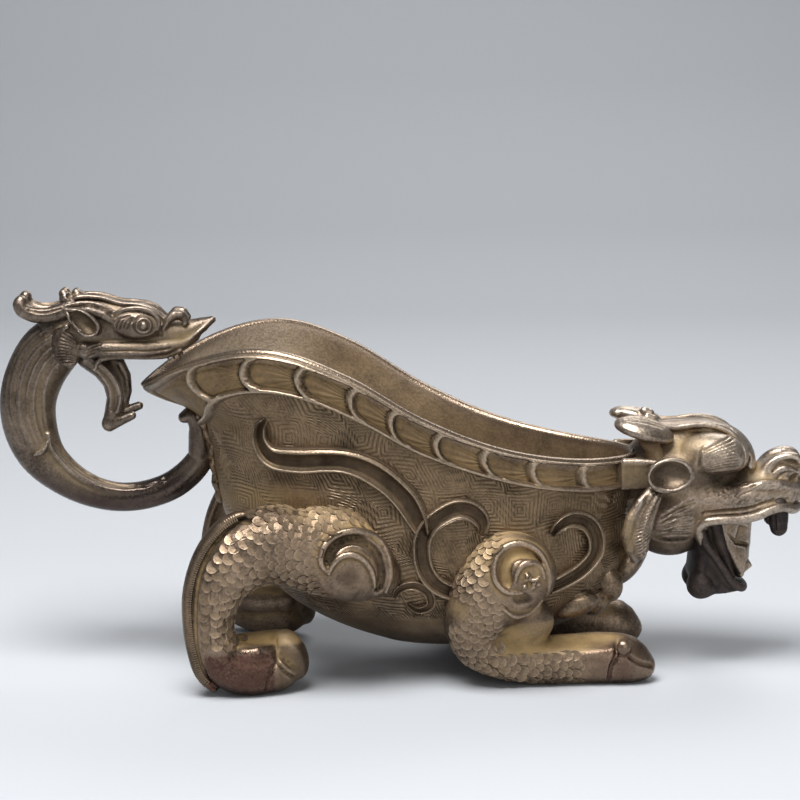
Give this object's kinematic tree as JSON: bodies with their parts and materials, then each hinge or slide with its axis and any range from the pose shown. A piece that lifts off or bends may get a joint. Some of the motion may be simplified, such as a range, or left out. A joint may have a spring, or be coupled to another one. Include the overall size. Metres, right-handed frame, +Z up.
{
  "type": "bronze beast-shaped pouring vessel",
  "caption": "Small cast bronze pouring vessel: an open boat-shaped bowl carried by a crouching horned beast, with a dragon biting the raised lip as the loop handle.",
  "frame": {"origin": "on the table, below the middle of the whole length, on the centre plane", "axes": "+X towards the beast's nose, +Y towards the beast's left side, +Z up"},
  "size_m": [0.1616, 0.0604, 0.0757],
  "materials": {
    "bowl_bronze": "cast, brown patina with ochre dust in the pattern, smooth inside",
    "relief_bronze": "cast, brown patina, rubbed copper-brown on the raised edges",
    "leg_bronze": "cast, brown patina, worn shiny and reddish on the paws",
    "head_bronze": "cast, brown patina with ochre dust in the lines",
    "handle_bronze": "cast, grey-brown patina, rubbed on the outside of the loop"
  },
  "bodies": {
    "root": {"bowl": "bowl_bronze", "rim_band": "relief_bronze", "wing_strap_right": "relief_bronze", "wing_strap_left": "relief_bronze", "rear_scroll_right": "relief_bronze", "rear_scroll_left": "relief_bronze", "front_scroll_right": "relief_bronze", "front_scroll_left": "relief_bronze", "hind_leg_right": "leg_bronze", "hind_leg_left": "leg_bronze", "front_leg_right": "leg_bronze", "front_leg_left": "leg_bronze", "beast_head": "head_bronze", "neck_ruff": "head_bronze", "beast_jaw": "head_bronze", "beast_tongue": "head_bronze", "beast_ear_right": "head_bronze", "beast_ear_left": "head_bronze", "beast_horn_right": "head_bronze", "beast_horn_left": "head_bronze", "beast_fang_right": "head_bronze", "beast_fang_left": "head_bronze", "handle_loop": "handle_bronze", "handle_tail": "handle_bronze", "dragon_head": "handle_bronze", "dragon_jaw": "handle_bronze", "dragon_horn_right": "handle_bronze", "dragon_horn_left": "handle_bronze", "dragon_ear_right": "handle_bronze", "dragon_ear_left": "handle_bronze"}
  },
  "joints": []
}
